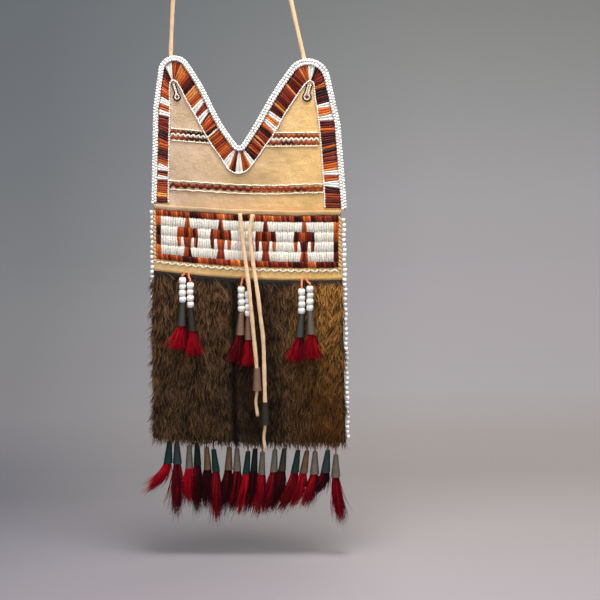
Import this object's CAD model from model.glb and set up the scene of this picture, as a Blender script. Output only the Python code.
# %% [markdown]
# # A quilled hide bag
# A flat pouch of soft tanned hide hangs by a thong from two tall peaks. Dyed and plain quills are
# folded into a border round the peaks and into a panel under the mouth. The pouch's front is fur, and
# tin cones with red hair hang from it. This lesson dresses the bag's plain solids, piece by piece.

import math

import bpy
import numpy as np
from mathutils import Matrix, Vector
from mathutils.geometry import delaunay_2d_cdt


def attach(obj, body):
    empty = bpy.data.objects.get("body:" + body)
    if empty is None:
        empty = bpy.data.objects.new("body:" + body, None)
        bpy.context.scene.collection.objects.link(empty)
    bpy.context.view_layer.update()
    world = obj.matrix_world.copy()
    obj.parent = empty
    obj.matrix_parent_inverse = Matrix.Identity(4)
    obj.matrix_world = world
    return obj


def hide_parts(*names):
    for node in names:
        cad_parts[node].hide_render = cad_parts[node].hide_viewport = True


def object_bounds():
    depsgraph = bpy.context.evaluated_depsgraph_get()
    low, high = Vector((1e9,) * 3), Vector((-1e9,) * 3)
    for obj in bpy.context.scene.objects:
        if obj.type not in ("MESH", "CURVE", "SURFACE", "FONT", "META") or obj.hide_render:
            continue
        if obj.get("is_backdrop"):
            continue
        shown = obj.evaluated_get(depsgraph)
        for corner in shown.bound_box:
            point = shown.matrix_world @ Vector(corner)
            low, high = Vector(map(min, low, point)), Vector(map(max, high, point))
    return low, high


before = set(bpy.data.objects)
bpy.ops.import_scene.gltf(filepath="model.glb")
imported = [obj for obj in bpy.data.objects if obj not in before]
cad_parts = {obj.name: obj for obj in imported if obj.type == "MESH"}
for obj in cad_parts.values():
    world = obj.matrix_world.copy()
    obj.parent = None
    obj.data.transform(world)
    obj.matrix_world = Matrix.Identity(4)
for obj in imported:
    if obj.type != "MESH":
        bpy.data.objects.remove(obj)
cad_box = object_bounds()
scene = bpy.context.scene

# %% [markdown]
# The maker's sizes are in millimetres from the middle of the mouth: x to the right, -y to the front,
# z up. The front sheet swells like a filled pouch and sags to the right. It could be drawn by hand for
# each piece, but one rule gives both, so that hide, quills and fur all lie on the same surface.

# %% The hanging front, and the flat back
MM = 0.001
HANG_DROP = 260
HIDE = 1.4
GAP = 0.3
BACK_FACE = -1.8
PANEL_FACE = BACK_FACE - HIDE
POUCH_DEPTH = 219
POUCH_BULGE = 10
BAND_BOTTOM = -58.9
MOUTH_LEFT, MOUTH_RIGHT = -89.4, 87.2
BASE_LEFT, BASE_RIGHT = -90.2, 92.0
MOUTH_SAG, BAND_SAG, BASE_SAG = 6.2, 9.0, 4.5
SAG_ARCH = 1.1


def mix(first, second, share):
    return first + (second - first) * share


def pouch_edges(z):
    depth = -z / POUCH_DEPTH
    return mix(MOUTH_LEFT, BASE_LEFT, depth), mix(MOUTH_RIGHT, BASE_RIGHT, depth)


def across_pouch(x, z):
    left, right = pouch_edges(z)
    return np.clip((x - left) / (right - left), 0, 1)


def below_band(z):
    """From 0 at the band's lower edge to 1 at the hem."""
    return np.clip((BAND_BOTTOM - z) / (BAND_BOTTOM + POUCH_DEPTH), 0, 1)


def sag(x, z):
    across = across_pouch(x, z)
    upper = mix(MOUTH_SAG, BAND_SAG, np.clip(z / BAND_BOTTOM, 0, 1))
    return mix(upper, BASE_SAG, below_band(z)) * ((1 + SAG_ARCH) * across - SAG_ARCH * across**2)


def on_peaks(x, z, height):
    """Places at a height over the flat back sheet."""
    x, z, height = np.broadcast_arrays(*(np.asarray(v, float) for v in (x, z, height)))
    return np.stack([x, PANEL_FACE - height, z], -1)


def on_front(x, z, height):
    """Places at a height over the inner face of the hanging front."""
    x, z = np.asarray(x, float), np.asarray(z, float)
    across = across_pouch(x, z)
    swell = 4 * across * (1 - across) * (1 - (np.maximum(-z, 0) / POUCH_DEPTH) ** 3)
    return on_peaks(x, z - sag(x, z), GAP + POUCH_BULGE * swell + height)


def to_frame(points):
    moved = np.array(points, float)
    moved[..., 2] -= HANG_DROP
    return moved * MM


print("hem at the right side", on_front(BASE_RIGHT, -POUCH_DEPTH, 0).round(1))

# %% [markdown]
# A finish is a tree of nodes. They could be added and linked one by one, but sums are easier to read.
# So one class holds a socket and turns + - * / into Math nodes, and one method adds any other node,
# first its settings and then its sockets. The same class builds the geometry trees further down.


# %% Node trees as plain expressions
class Value:
    def __init__(self, tree, socket):
        self.tree, self.socket = tree, socket

    def __add__(self, other):
        return self.tree.math("ADD", self, other)

    def __radd__(self, other):
        return self.tree.math("ADD", other, self)

    def __sub__(self, other):
        return self.tree.math("SUBTRACT", self, other)

    def __rsub__(self, other):
        return self.tree.math("SUBTRACT", other, self)

    def __mul__(self, other):
        return self.tree.math("MULTIPLY", self, other)

    def __rmul__(self, other):
        return self.tree.math("MULTIPLY", other, self)

    def __truediv__(self, other):
        return self.tree.math("DIVIDE", self, other)

    def __pow__(self, other):
        return self.tree.math("POWER", self, other)


class Tree:
    def __init__(self, tree):
        self.tree = tree

    def node(self, kind, settings=None, inputs=None, output=None):
        made = self.tree.nodes.new(kind)
        for name, value in (settings or {}).items():
            if name == "stops":
                self.set_stops(made.color_ramp, value)
            else:
                setattr(made, name, value)
        for key, value in (inputs or {}).items():
            self.set(self.socket(made.inputs, key), value)
        return Value(self, self.socket(made.outputs, output))

    def socket(self, sockets, key):
        if isinstance(key, int):
            return sockets[key]
        return next(s for s in sockets if s.enabled and key in (None, s.name))

    def set(self, socket, value):
        if isinstance(value, Value):
            self.tree.links.new(value.socket, socket)
        else:
            socket.default_value = value

    def set_stops(self, ramp, stops):
        while len(ramp.elements) < len(stops):
            ramp.elements.new(1)
        for element, (place, colour) in zip(ramp.elements, stops):
            element.position, element.color = place, colour

    def math(self, operation, first, second):
        return self.node("ShaderNodeMath", {"operation": operation}, {0: first, 1: second})

    def clamp(self, value, low=0.0, high=1.0):
        return self.node("ShaderNodeClamp", None, {"Value": value, "Min": low, "Max": high})

    def blend(self, share, first, second):
        return self.node("ShaderNodeMix", {"data_type": "RGBA"}, {0: share, 6: first, 7: second}, 2)

    def noise(self, place, scale, detail):
        inputs = {"Vector": place, "Scale": scale, "Detail": detail}
        return self.node("ShaderNodeTexNoise", None, inputs)


print("a value takes + - * / and **")


# %% Colours, and finishes made of nodes
def paint(code):
    """A colour written as it looks on a screen, as the linear light that shaders need."""
    parts = [int(code[k : k + 2], 16) / 255 for k in (1, 3, 5)]
    return (*[p / 12.92 if p <= 0.04045 else ((p + 0.055) / 1.055) ** 2.4 for p in parts], 1.0)


class Finish(Tree):
    """A material, with the sockets of its shader set by name."""

    def __init__(self, name, **constants):
        self.material = bpy.data.materials.new(name)
        self.material.use_nodes = True
        super().__init__(self.material.node_tree)
        self.shader = self.tree.nodes["Principled BSDF"]
        self.feed(**constants)
        self.place = self.node("ShaderNodeTexCoord", output="Object")

    def feed(self, **sockets):
        for key, value in sockets.items():
            self.set(self.shader.inputs[key.replace("_", " ").title().replace("Ior", "IOR")], value)
        return self.material

    def attribute(self, name, output="Color"):
        return self.node("ShaderNodeAttribute", {"attribute_name": name}, output=output)

    def bump(self, height, strength, distance):
        inputs = {"Height": height, "Strength": strength, "Distance": distance}
        return self.node("ShaderNodeBump", None, inputs)

    def axis(self, name):
        return self.node("ShaderNodeSeparateXYZ", None, {"Vector": self.place}, name)


print("a tan as light", [round(c, 3) for c in paint("#d8b489")])

# %% [markdown]
# Soft smoked hide is matte and never even: pinker on one side, yellower on the other, cloudy where the
# smoke took unevenly, with a fine nap and a stain on the front below the notch. A picture of hide would
# repeat and stretch, so noises make the clouds. Thongs are cut from the same hide.

# %% Hide, thong and stitches
STAIN_MIDDLE, STAIN_REACH = (0.004, -0.234), (0.034, 0.013)


def hide_finish(name, left, right, cloud):
    skin = Finish(name, roughness=0.88)
    clouds = skin.noise(skin.place, 24, 6)
    spots = skin.noise(skin.place, 160, 5)
    tan = skin.blend(skin.clamp(skin.axis("X") * 7 + 0.5), paint(left), paint(right))
    smoked = skin.blend(skin.clamp((clouds - 0.46) * 1.9), tan, paint(cloud))
    worn = skin.blend((spots - 0.42) * 0.55, smoked, paint(cloud))
    off_x = (skin.axis("X") - STAIN_MIDDLE[0]) / STAIN_REACH[0]
    off_z = (skin.axis("Z") - STAIN_MIDDLE[1]) / STAIN_REACH[1]
    before_back = skin.clamp((skin.axis("Y") - BACK_FACE * MM) / (-HIDE * MM))
    damp = skin.clamp(0.95 - (off_x**2 + off_z**2) + clouds * 0.4) * before_back * 0.5
    stained = skin.blend(damp, worn, paint(cloud))
    nap = skin.noise(skin.place, 1500, 2) + spots * 3 + clouds * 4
    return skin.feed(base_color=stained, normal=skin.bump(nap, 0.5, 0.0007))


hide = hide_finish("hide", "#d5b99f", "#f2c47b", "#ae8f62")
band_hide = hide_finish("band_hide", "#f8cd90", "#fccb7a", "#c9a05e")
binding_hide = hide_finish("binding_hide", "#bfa27e", "#c09a69", "#87693f")
thong = hide_finish("thong", "#e5c19b", "#ecc9a0", "#cba47a")
red_thong = hide_finish("red_thong", "#c06a48", "#cf7f58", "#94452c")
thread = Finish("thread", roughness=0.8, base_color=paint("#dcb67e")).material
print("hides", hide.name, band_hide.name, binding_hide.name, thong.name, red_thong.name)

# %% [markdown]
# Quills are flattened, dyed and folded one by one, so no two are quite the same colour. A finish for
# each dye would be many finishes, so each quill carries its own dye as a colour attribute, and one
# finish adds streaks, dark grooves and a soft gloss. Beads, tin and hair read the same attribute.

# %% Quills, beads, tin and hair
GRIME = (0.02, 0.01, 0.008, 1)


def dyed_finish(name, streak, streak_scale, **constants):
    dyed = Finish(name, **constants)
    streaks = dyed.noise(dyed.place, streak_scale, 3)
    dye = dyed.blend((streaks - 0.35) * streak, dyed.attribute("dye"), (0, 0, 0, 1))
    return dyed, dye, streaks


quill_form, quill_dye, quill_streaks = dyed_finish(
    "quill", 0.55, 700, roughness=0.46, specular_ior_level=0.16, coat_weight=0.03, coat_roughness=0.25
)
quill_side = quill_form.attribute("v", "Fac") * 2
quill_end = quill_form.attribute("u", "Fac") * 2
pale = quill_form.node("ShaderNodeSeparateColor", None, {"Color": quill_dye}, "Blue")
edges = (quill_side * quill_side) ** 3 * 0.8 + (quill_end * quill_end) ** 6 * 0.5
groove = edges * (1.0 - pale * 0.85)
grimy = quill_form.blend(groove, quill_dye, quill_form.blend(0.4, GRIME, quill_dye))
quill = quill_form.feed(base_color=grimy, normal=quill_form.bump(quill_streaks, 0.2, 0.0003))

bead_form, bead_dye, _ = dyed_finish("bead", 0.06, 90, roughness=0.24, coat_weight=0.3)
bead = bead_form.feed(base_color=bead_dye)

tin_form, tin_dye, tin_marks = dyed_finish("tin", 0.7, 260, metallic=0.75, specular_ior_level=0.5)
tin = tin_form.feed(
    base_color=tin_dye, roughness=tin_marks * 0.5 + 0.18, normal=tin_form.bump(tin_marks, 0.3, 0.0004)
)

hair_form, hair_dye, _ = dyed_finish("tassel_hair", 0.2, 400, roughness=0.6, specular_ior_level=0.12)
hair = hair_form.feed(base_color=hair_dye)
print("finishes with their own dye:", quill.name, bead.name, tin.name, hair.name)

# %% [markdown]
# One brown would look like felt. Fur is dark at the skin and warmer at the tips: `along` runs from 0 at
# the root of a hair to 1 at its tip, and `tone` is one number for each hair. The pelt turns golden
# towards its right edge, and it is darkest in the parting and behind the ties.

# %% Fur
PARTING = -14.0
BEHIND_TIES = 0.022
pelt = Finish("fur", roughness=0.65, specular_ior_level=0.14)
hair_tip = pelt.attribute("along", "Fac")
hair_tone = pelt.attribute("tone", "Fac")
patches = pelt.noise(pelt.place, 30, 3)
golden = pelt.clamp(pelt.axis("X") * 22 - 0.8 + patches * 0.35)
upper = pelt.clamp(pelt.axis("Z") * 11 + 4.9)
dark_hair = pelt.blend(hair_tone, paint("#0d0703"), paint("#24150a"))
pale_tip = pelt.blend(upper, paint("#8d6b47"), paint("#a87b50"))
pale_hair = pelt.blend(hair_tone, paint("#23160b"), pale_tip)
brown = pelt.blend(hair_tip * hair_tip, dark_hair, pale_hair)
gold_tip = pelt.blend(upper, paint("#7e4b10"), paint("#f6ad52"))
gold_hair = pelt.blend(hair_tone, paint("#442808"), gold_tip)
gold = pelt.blend(hair_tip, paint("#1b0f04"), gold_hair)
off_parting = pelt.axis("X") - PARTING * MM
off_ties = off_parting - BEHIND_TIES
crease = pelt.clamp(1.0 - off_parting * off_parting * 60000)
middle = pelt.clamp(1.0 - off_ties * off_ties * 1300)
coat = pelt.blend(golden * 0.85, brown, gold)
fur = pelt.feed(base_color=pelt.blend(crease * 0.7 + middle * 0.55, coat, paint("#0c0704")))
skin_side = Finish("fur_skin", roughness=0.9, base_color=paint("#150d08")).material
print("hairs of", fur.name, "on", skin_side.name)

# %% [markdown]
# A piece is a mesh whose points are already in the frame's place. It could be moved and scaled there as
# an object, but then each move would have to be applied. It rides on one of the frame's bodies, names
# the record's material slot, and hides the solids that it stands for.

# %% Making and settling a piece
ATTRIBUTE_KINDS = {1: ("FLOAT", "value"), 3: ("FLOAT_VECTOR", "vector"), 4: ("FLOAT_COLOR", "color")}


def add_object(name, data):
    added = bpy.data.objects.new(name, data)
    scene.collection.objects.link(added)
    return added


def new_piece(name, points, faces, material, edges=()):
    mesh = bpy.data.meshes.new(name)
    mesh.from_pydata(to_frame(points).tolist(), edges, faces)
    mesh.materials.append(material)
    mesh.shade_smooth()
    return add_object(name, mesh)


def give(piece, **columns):
    """Adds attributes to a piece's points: one number, a vector or a colour for each point."""
    for name, values in columns.items():
        values = np.asarray(values, np.float32).ravel()
        kind, field = ATTRIBUTE_KINDS[len(values) // len(piece.data.vertices)]
        piece.data.attributes.new(name, kind, "POINT").data.foreach_set(field, values)


def settle(piece, slot, *solids, body="bag"):
    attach(piece, body)
    if solids:
        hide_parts(*solids)
    return piece


def thicken(piece, thickness):
    wall = piece.modifiers.new("thickness", "SOLIDIFY")
    wall.thickness, wall.offset = thickness * MM, -1
    return piece


def grid_faces(rows, columns):
    corner = np.arange(rows * columns).reshape(rows, columns)
    quads = np.stack([corner[:-1, :-1], corner[:-1, 1:], corner[1:, 1:], corner[1:, :-1]], -1)
    return quads.reshape(-1, 4).tolist()


def ring_faces(rings, around, closed=False):
    """Faces between rings of points. A closed set of rings also joins the last ring to the first."""
    faces = []
    for ring in range(rings if closed else rings - 1):
        here, beyond = ring * around, (ring + 1) % rings * around
        faces += [
            (here + k, here + m, beyond + m, beyond + k) for k, m in enumerate([*range(1, around), 0])
        ]
    return faces


def flipped(faces):
    return [face[::-1] for face in faces]


def end_faces(rings, around):
    """The faces that close the first and the last of a row of rings."""
    return [tuple(range(around))[::-1], tuple(range((rings - 1) * around, rings * around))]


# %% [markdown]
# The peaks' outline is two arcs and a small notch, joined by slopes that bow and wave. It could be a row
# of traced points, but a rule can be moved inwards: with an inset it gives the cut of the hide, both
# rows of beads and the border's outer side.

# %% The outline of the peaks, in seven stretches
FOOT_LEFT, FOOT_RIGHT = (-91.6, 5.8), (92.7, 0.0)
SHOULDER_LEFT, SHOULDER_RIGHT = (-89.0, 94.0), (86.4, 79.8)
LEFT_PEAK, LEFT_RADIUS = np.array([-68.5, 128.2]), 15.4
RIGHT_PEAK, RIGHT_RADIUS = np.array([55.7, 119.6]), 21.2
NOTCH, NOTCH_RADIUS = np.array([-8.6, 62.2]), 2.5
LEFT_BOW, RIGHT_BOW = (0.8, -1.25), (-0.85, 0.6)


def turn_of(vector):
    return math.atan2(vector[1], vector[0])


def arc(centre, radius, start, end, steps=14):
    angles = np.linspace(start, end, steps)
    return centre + radius * np.stack([np.cos(angles), np.sin(angles)], -1)


def bowed(start, end, bow, normal, steps=12):
    share = np.linspace(0, 1, steps)[:, None]
    inward = -np.array([math.cos(normal), math.sin(normal)])
    dent = bow[0] * np.sin(math.pi * share) + bow[1] * np.sin(2 * math.pi * share)
    return mix(np.array(start), np.array(end), share) + dent * inward


def peak_outline(inset):
    to_notch_l, to_notch_r = NOTCH - LEFT_PEAK, NOTCH - RIGHT_PEAK
    normal_l = turn_of(to_notch_l) + math.acos((LEFT_RADIUS + NOTCH_RADIUS) / np.hypot(*to_notch_l))
    normal_r = turn_of(to_notch_r) - math.acos((RIGHT_RADIUS + NOTCH_RADIUS) / np.hypot(*to_notch_r))
    normal_r += 2 * math.pi
    left = np.array(SHOULDER_LEFT) + (inset, 0)
    right = np.array(SHOULDER_RIGHT) - (inset, 0)
    radius_l, radius_r = LEFT_RADIUS - inset, RIGHT_RADIUS - inset
    to_left, to_right = left - LEFT_PEAK, right - RIGHT_PEAK
    start = turn_of(to_left) - math.acos(radius_l / np.hypot(*to_left)) + 2 * math.pi
    end = turn_of(to_right) + math.acos(radius_r / np.hypot(*to_right))
    left_peak = arc(LEFT_PEAK, radius_l, start, normal_l)
    right_peak = arc(RIGHT_PEAK, radius_r, normal_r, end)
    notch = arc(NOTCH, NOTCH_RADIUS + inset, normal_l + math.pi, normal_r + math.pi, 8)
    return {
        "left_leg": np.array([np.array(FOOT_LEFT) + (inset, 0), left, left_peak[0]]),
        "left_peak": left_peak,
        "left_slope": bowed(left_peak[-1], notch[0], LEFT_BOW, normal_l),
        "notch": notch,
        "right_slope": bowed(notch[-1], right_peak[0], RIGHT_BOW, normal_r),
        "right_peak": right_peak,
        "right_leg": np.array([right_peak[-1], right, np.array(FOOT_RIGHT) - (inset, 0)]),
    }


def joined(stretches):
    rows = list(stretches.values())
    return np.concatenate([rows[0]] + [row[1:] for row in rows[1:]])


def length_of(points):
    return float(np.linalg.norm(np.diff(points, axis=0), axis=1).sum())


def along(points, shares):
    """Places at shares of a row of points' length."""
    steps = np.linalg.norm(np.diff(points, axis=0), axis=1)
    reached = np.concatenate([[0], np.cumsum(steps)]) / steps.sum()
    return np.stack([np.interp(shares, reached, column) for column in np.transpose(points)], -1)


print("edge of the peaks:", round(length_of(joined(peak_outline(0)))), "mm")

# %% [markdown]
# The back sheet is one cut of hide with both peaks on it. One flat face would do for its outline, but
# a fine net of triangles can ripple like hide that was worked soft. Its back is left plain.

# %% The back sheet
HIDE_INSET = 1.0
SEAM_START = -2
NET, NET_SHIFT = 4.0, (0.9, 0.3)
QUIET_EDGE = 12


def ripple(x, z):
    wave = np.sin(x * 0.071 + z * 0.043) * np.sin(z * 0.058 - x * 0.021 + 1)
    return 0.35 * wave + 0.12 * np.sin(x * 0.33 + z * 0.27)


def inside(points, outline):
    """True for points within an outline, counted by the edges to their right."""
    x, z = points[:, 0:1], points[:, 1:2]
    x1, z1 = outline[:, 0], outline[:, 1]
    x2, z2 = np.roll(x1, -1), np.roll(z1, -1)
    spans = (z1 > z) != (z2 > z)
    rise = np.where(z2 == z1, 1e-9, z2 - z1)
    return (spans & (x < (x2 - x1) * (z - z1) / rise + x1)).sum(1) % 2 == 1


def even(points, step):
    return along(points, np.linspace(0, 1, max(2, round(length_of(points) / step))))


def off_edge(points, outline):
    return np.linalg.norm(points[:, None] - outline[None], axis=2).min(1)


seams = np.array([
    (MOUTH_RIGHT, SEAM_START), (BASE_RIGHT, -POUCH_DEPTH - BASE_SAG), (BASE_LEFT, -POUCH_DEPTH),
    (MOUTH_LEFT, SEAM_START),
])
cut = np.concatenate([even(joined(peak_outline(HIDE_INSET)), NET), even(seams, NET)])
net_x, net_z = np.meshgrid(np.arange(-92, 94, NET), np.arange(-224, 146, NET))
net = np.stack([net_x.ravel(), net_z.ravel()], -1) + NET_SHIFT
net = net[inside(net, cut) & (off_edge(net, cut) >= NET * 0.6)]
flat = [Vector(p) for p in np.concatenate([cut, net])]
loop = [(k, (k + 1) % len(cut)) for k in range(len(cut))]
points, _, faces, *_ = delaunay_2d_cdt(flat, loop, [], 1, 1e-5)
flat_points = np.array([p[:] for p in points])
lift = ripple(*flat_points.T) * np.clip(off_edge(flat_points, cut) / QUIET_EDGE, 0, 1)
back = new_piece("back_panel_hide", on_peaks(*flat_points.T, lift), faces, hide)
x, z = cut.T
cut_area = 0.5 * abs(np.sum(x * np.roll(z, -1) - z * np.roll(x, -1)))
settle(thicken(back, HIDE), "hide", "back_panel")
print("back sheet:", len(faces), "faces,", round(cut_area / 100), "square cm")

# %% [markdown]
# The band and the pelt are strips of the hanging front, each a grid on the same rule. One sheet could be
# both, but they are two hides, sewn together. The band's top edge is bound with a folded strip, whose
# fold catches the light as a pale line.

# %% The band and its binding
BAND_TOP = 3.7
BAND_HEM = BAND_BOTTOM + 1.2
BINDING = 0.6
FOLD = [
    (0.8, 1.7), (0.7, 2.5), (1.7, 2.9), (3.4, 2.8), (4.9, 2.75), (5.3, 2.1), (5.35, 1.0), (5.0, 0.2),
    (4.2, 0.1), (2.2, 0.1),
]


def front_strip(name, levels, shares, height, material):
    """A grid on the front, at levels down it and shares across it."""
    z, share = np.meshgrid(levels, shares, indexing="ij")
    x = mix(*pouch_edges(z), share)
    points = on_front(x, z, height(x, z)).reshape(-1, 3)
    return new_piece(name, points, grid_faces(*z.shape), material)


band = front_strip(
    "front_band_hide", np.linspace(BAND_HEM, BAND_TOP, 26), np.linspace(0, 1, 60),
    lambda x, z: HIDE + 0.3 * ripple(x, z), band_hide,
)
settle(thicken(band, HIDE), "hide", "front_band")

shares = np.linspace(0, 1, 90)
rows = []
for z, height in FOLD:
    x = mix(*pouch_edges(np.full(shares.shape, min(z, 0.0))), shares)
    slack = 0.3 * np.sin(x * 0.11) + 0.18 * np.sin(x * 0.37 + z)
    rows.append(on_front(x, z + (slack if z < 2 else 0.4 * slack), height))
binding_faces = grid_faces(len(FOLD), len(shares))
binding = new_piece("mouth_binding_hide", np.concatenate(rows), binding_faces, binding_hide)
settle(thicken(binding, BINDING), "hide", "mouth_binding")
print("binding along", len(shares), "places")

# %% [markdown]
# Hundreds of quills, beads and stitches are copies of one small shape. Each could be an object, but so
# many are slow to handle. A geometry tree puts the shape on every point of a cloud, turned and sized by
# the point's own attributes, with a little unevenness from a fixed seed. `flare` makes one end of a copy
# wider than the other, as quills fan round a corner.


# %% Geometry trees, and the one that puts copies on points
class GeometryTree(Tree):
    """A geometry tree with named inputs, which ends in real meshes of one finish."""

    def __init__(self, name, **inputs):
        self.group = bpy.data.node_groups.new(name, "GeometryNodeTree")
        super().__init__(self.group)
        inputs = {"Geometry": "Geometry", **inputs, "Finish": "Material"}
        for label, kind in inputs.items():
            self.group.interface.new_socket(label, in_out="INPUT", socket_type="NodeSocket" + kind)
        self.group.interface.new_socket("Geometry", in_out="OUTPUT", socket_type="NodeSocketGeometry")
        inlet = self.tree.nodes.new("NodeGroupInput")
        self.given = {s.name: Value(self, s) for s in inlet.outputs if s.name}

    def named(self, name, kind="FLOAT"):
        return self.node("GeometryNodeInputNamedAttribute", {"data_type": kind}, {"Name": name})

    def vector(self, operation, first, second):
        key = "Scale" if operation == "SCALE" else 1
        return self.node("ShaderNodeVectorMath", {"operation": operation}, {0: first, key: second})

    def xyz(self, x, y, z):
        return self.node("ShaderNodeCombineXYZ", None, {"X": x, "Y": y, "Z": z})

    def random(self, low, high, seed):
        kind = "FLOAT_VECTOR" if isinstance(low, tuple) else "FLOAT"
        inputs = {"Min": low, "Max": high, "Seed": seed}
        return self.node("FunctionNodeRandomValue", {"data_type": kind}, inputs)

    def turn(self, rotation, by):
        inputs = {"Rotation": rotation, "Rotate By": by}
        return self.node("FunctionNodeRotateRotation", {"rotation_space": "LOCAL"}, inputs)

    def copies(self, points, shape, rotation, scale):
        one = self.node("GeometryNodeObjectInfo", None, {"Object": shape}, "Geometry")
        inputs = {"Points": points, "Instance": one, "Rotation": rotation, "Scale": scale}
        return self.node("GeometryNodeInstanceOnPoints", None, inputs)

    def real(self, geometry):
        return self.node("GeometryNodeRealizeInstances", None, {"Geometry": geometry})

    def close(self, geometry):
        inputs = {"Geometry": self.real(geometry), "Material": self.given["Finish"]}
        done = self.node("GeometryNodeSetMaterial", None, inputs)
        self.set(self.tree.nodes.new("NodeGroupOutput").inputs["Geometry"], done)
        print(self.group.name, "has", len(self.group.nodes), "nodes")


copying = GeometryTree("copies_on_points", Shape="Object", Wobble="Vector", Unevenness="Float", Seed="Int")
given = copying.given
shake = copying.random((-1, -1, -1), (1, 1, 1), given["Seed"])
wobbled = copying.vector("MULTIPLY", shake, given["Wobble"])
turned = copying.turn(copying.named("turn", "FLOAT_VECTOR"), wobbled)
growth = copying.random(1 - given["Unevenness"], 1 + given["Unevenness"], given["Seed"] + 1)
sized = copying.vector("SCALE", copying.named("size", "FLOAT_VECTOR"), growth)
loose = copying.real(copying.copies(given["Geometry"], given["Shape"], turned, sized))
to_corner = copying.named("u") * copying.named("v")
fan = copying.vector("SCALE", copying.named("flare", "FLOAT_VECTOR"), to_corner)
copying.close(copying.node("GeometryNodeSetPosition", None, {"Geometry": loose, "Offset": fan}))

# %% [markdown]
# A tree could stay on its piece as a modifier, but other programs don't know it. So it is run once, and
# only the plain mesh is kept.


# %% Running a tree, and keeping only its mesh
def run_tree(source, tree, **values):
    """Runs a geometry tree on a source piece, and returns the result as a plain piece."""
    modifier = source.modifiers.new(tree.group.name, "NODES")
    modifier.node_group = tree.group
    for item in tree.group.interface.items_tree:
        if item.in_out == "INPUT" and item.name in values:
            modifier[item.identifier] = values[item.name]
    scene_graph = bpy.context.evaluated_depsgraph_get()
    mesh = bpy.data.meshes.new_from_object(source.evaluated_get(scene_graph))
    name = source.name
    bpy.data.objects.remove(source)
    mesh.shade_smooth()
    return add_object(name, mesh)


def euler(direction, normal):
    """The turn that lays a shape's x along a direction, with its z along a normal."""
    x = Vector(direction).normalized()
    z = Vector(normal)
    z = (z - x * z.dot(x)).normalized()
    return Matrix((x, z.cross(x), z)).transposed().to_euler()[:]


def copy_on_points(name, places, shape, finish, wobble, uneven, **columns):
    """Copies of a shape, by columns of turns, sizes, dyes and flares."""
    cloud = new_piece(name, places, [], finish)
    give(cloud, **columns)
    inputs = {"Shape": shape, "Finish": finish, "Wobble": wobble, "Unevenness": uneven, "Seed": 11}
    return run_tree(cloud, copying, **inputs)


def unit_shape(name, points, faces):
    """A small shape at the origin, one metre across, that copies are made of."""
    mesh = bpy.data.meshes.new(name)
    mesh.from_pydata(points, [], faces)
    shape = add_object(name, mesh)
    give(shape, u=[p[0] for p in points], v=[p[1] for p in points])
    return shape


print("ready to copy")

# %% [markdown]
# One quill: a flattened tube that rises from a stitch, runs across and dives under the next stitch.
# Its x runs along the quill from -0.5 to 0.5, its y across it, and its z off the hide. One bumpy sheet
# could stand for a whole row, but single quills each catch the light and lean in their own way.

# %% The quill
STATIONS = [
    (-0.5, 0.08, 0.8), (-0.4, 0.72, 0.97), (-0.15, 1.0, 1.0), (0.15, 1.0, 1.0), (0.4, 0.72, 0.97),
    (0.5, 0.08, 0.8),
]
SECTION = [(-0.5, 0.0), (-0.42, 0.55), (-0.16, 0.95), (0.16, 0.95), (0.42, 0.55), (0.5, 0.0)]
quill_points = [(x, y * wide, z * high) for x, high, wide in STATIONS for y, z in SECTION]
# The two end faces, thin slivers in the stitches, look into the quill.
rings = len(STATIONS), len(SECTION)
quill_shape = unit_shape("one_quill", quill_points, flipped(ring_faces(*rings)) + end_faces(*rings))

DYES = {
    "white": "#f6f3ea", "bone": "#f6f0e3", "cream": "#e9dfc6", "gold": "#df8f4c", "orange": "#cd6026",
    "rust": "#a6441f", "red": "#88311f", "maroon": "#5c1b13", "dark": "#35110c", "hide": "#dcb67e",
}
PALE_SPREAD, DYED_SPREAD = 0.07, 0.3
dice = np.random.default_rng(21)


def dye_of(name):
    spread = PALE_SPREAD if name in ("white", "bone", "cream", "hide") else DYED_SPREAD
    light = 1 + dice.uniform(-spread, spread)
    warm = 1 + dice.uniform(-spread, spread) * 0.5
    red, green, blue, _ = paint(DYES[name])
    return (min(red * light, 1), min(green * light * warm, 1), min(blue * light / warm, 1), 1)


def lay_quills(name, quills, surface, rise, slot, *solids, finish=quill):
    """Quills as (start, end, width at the start, width at the end, dye), each given on the flat hide."""
    lift = HIDE + GAP if surface is on_front else GAP
    places, turns, sizes, dyes, flares = [], [], [], [], []
    for start, end, wide_start, wide_end, dye in quills:
        halfway = np.add(start, end) / 2
        middle = surface(*halfway, lift)
        raised = surface(*halfway, lift + 1) - middle
        direction = surface(*end, lift) - surface(*start, lift)
        length = float(np.linalg.norm(direction))
        places.append(middle)
        turns.append(euler(direction, raised))
        sizes.append((length, (wide_start + wide_end) / 2, rise))
        dyes.append(dye_of(dye))
        flares.append(np.cross(raised, direction) / length * (wide_end - wide_start))
    piece = copy_on_points(
        name, places, quill_shape, finish, wobble=(0.24, 0.03, 0.04), uneven=0.07,
        turn=turns, size=np.multiply(sizes, MM), dye=dyes, flare=np.multiply(flares, MM),
    )
    settle(piece, slot, *solids)


print("a quill has", len(quill_shape.data.polygons), "faces")

# %% [markdown]
# The border's quills run from the beads to a white inner line. Painted stripes would look flat, so every
# quill is laid. The colours change in blocks, and each stretch is a list of colours with the shares
# where each one ends, on the outer and the inner side.

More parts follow.
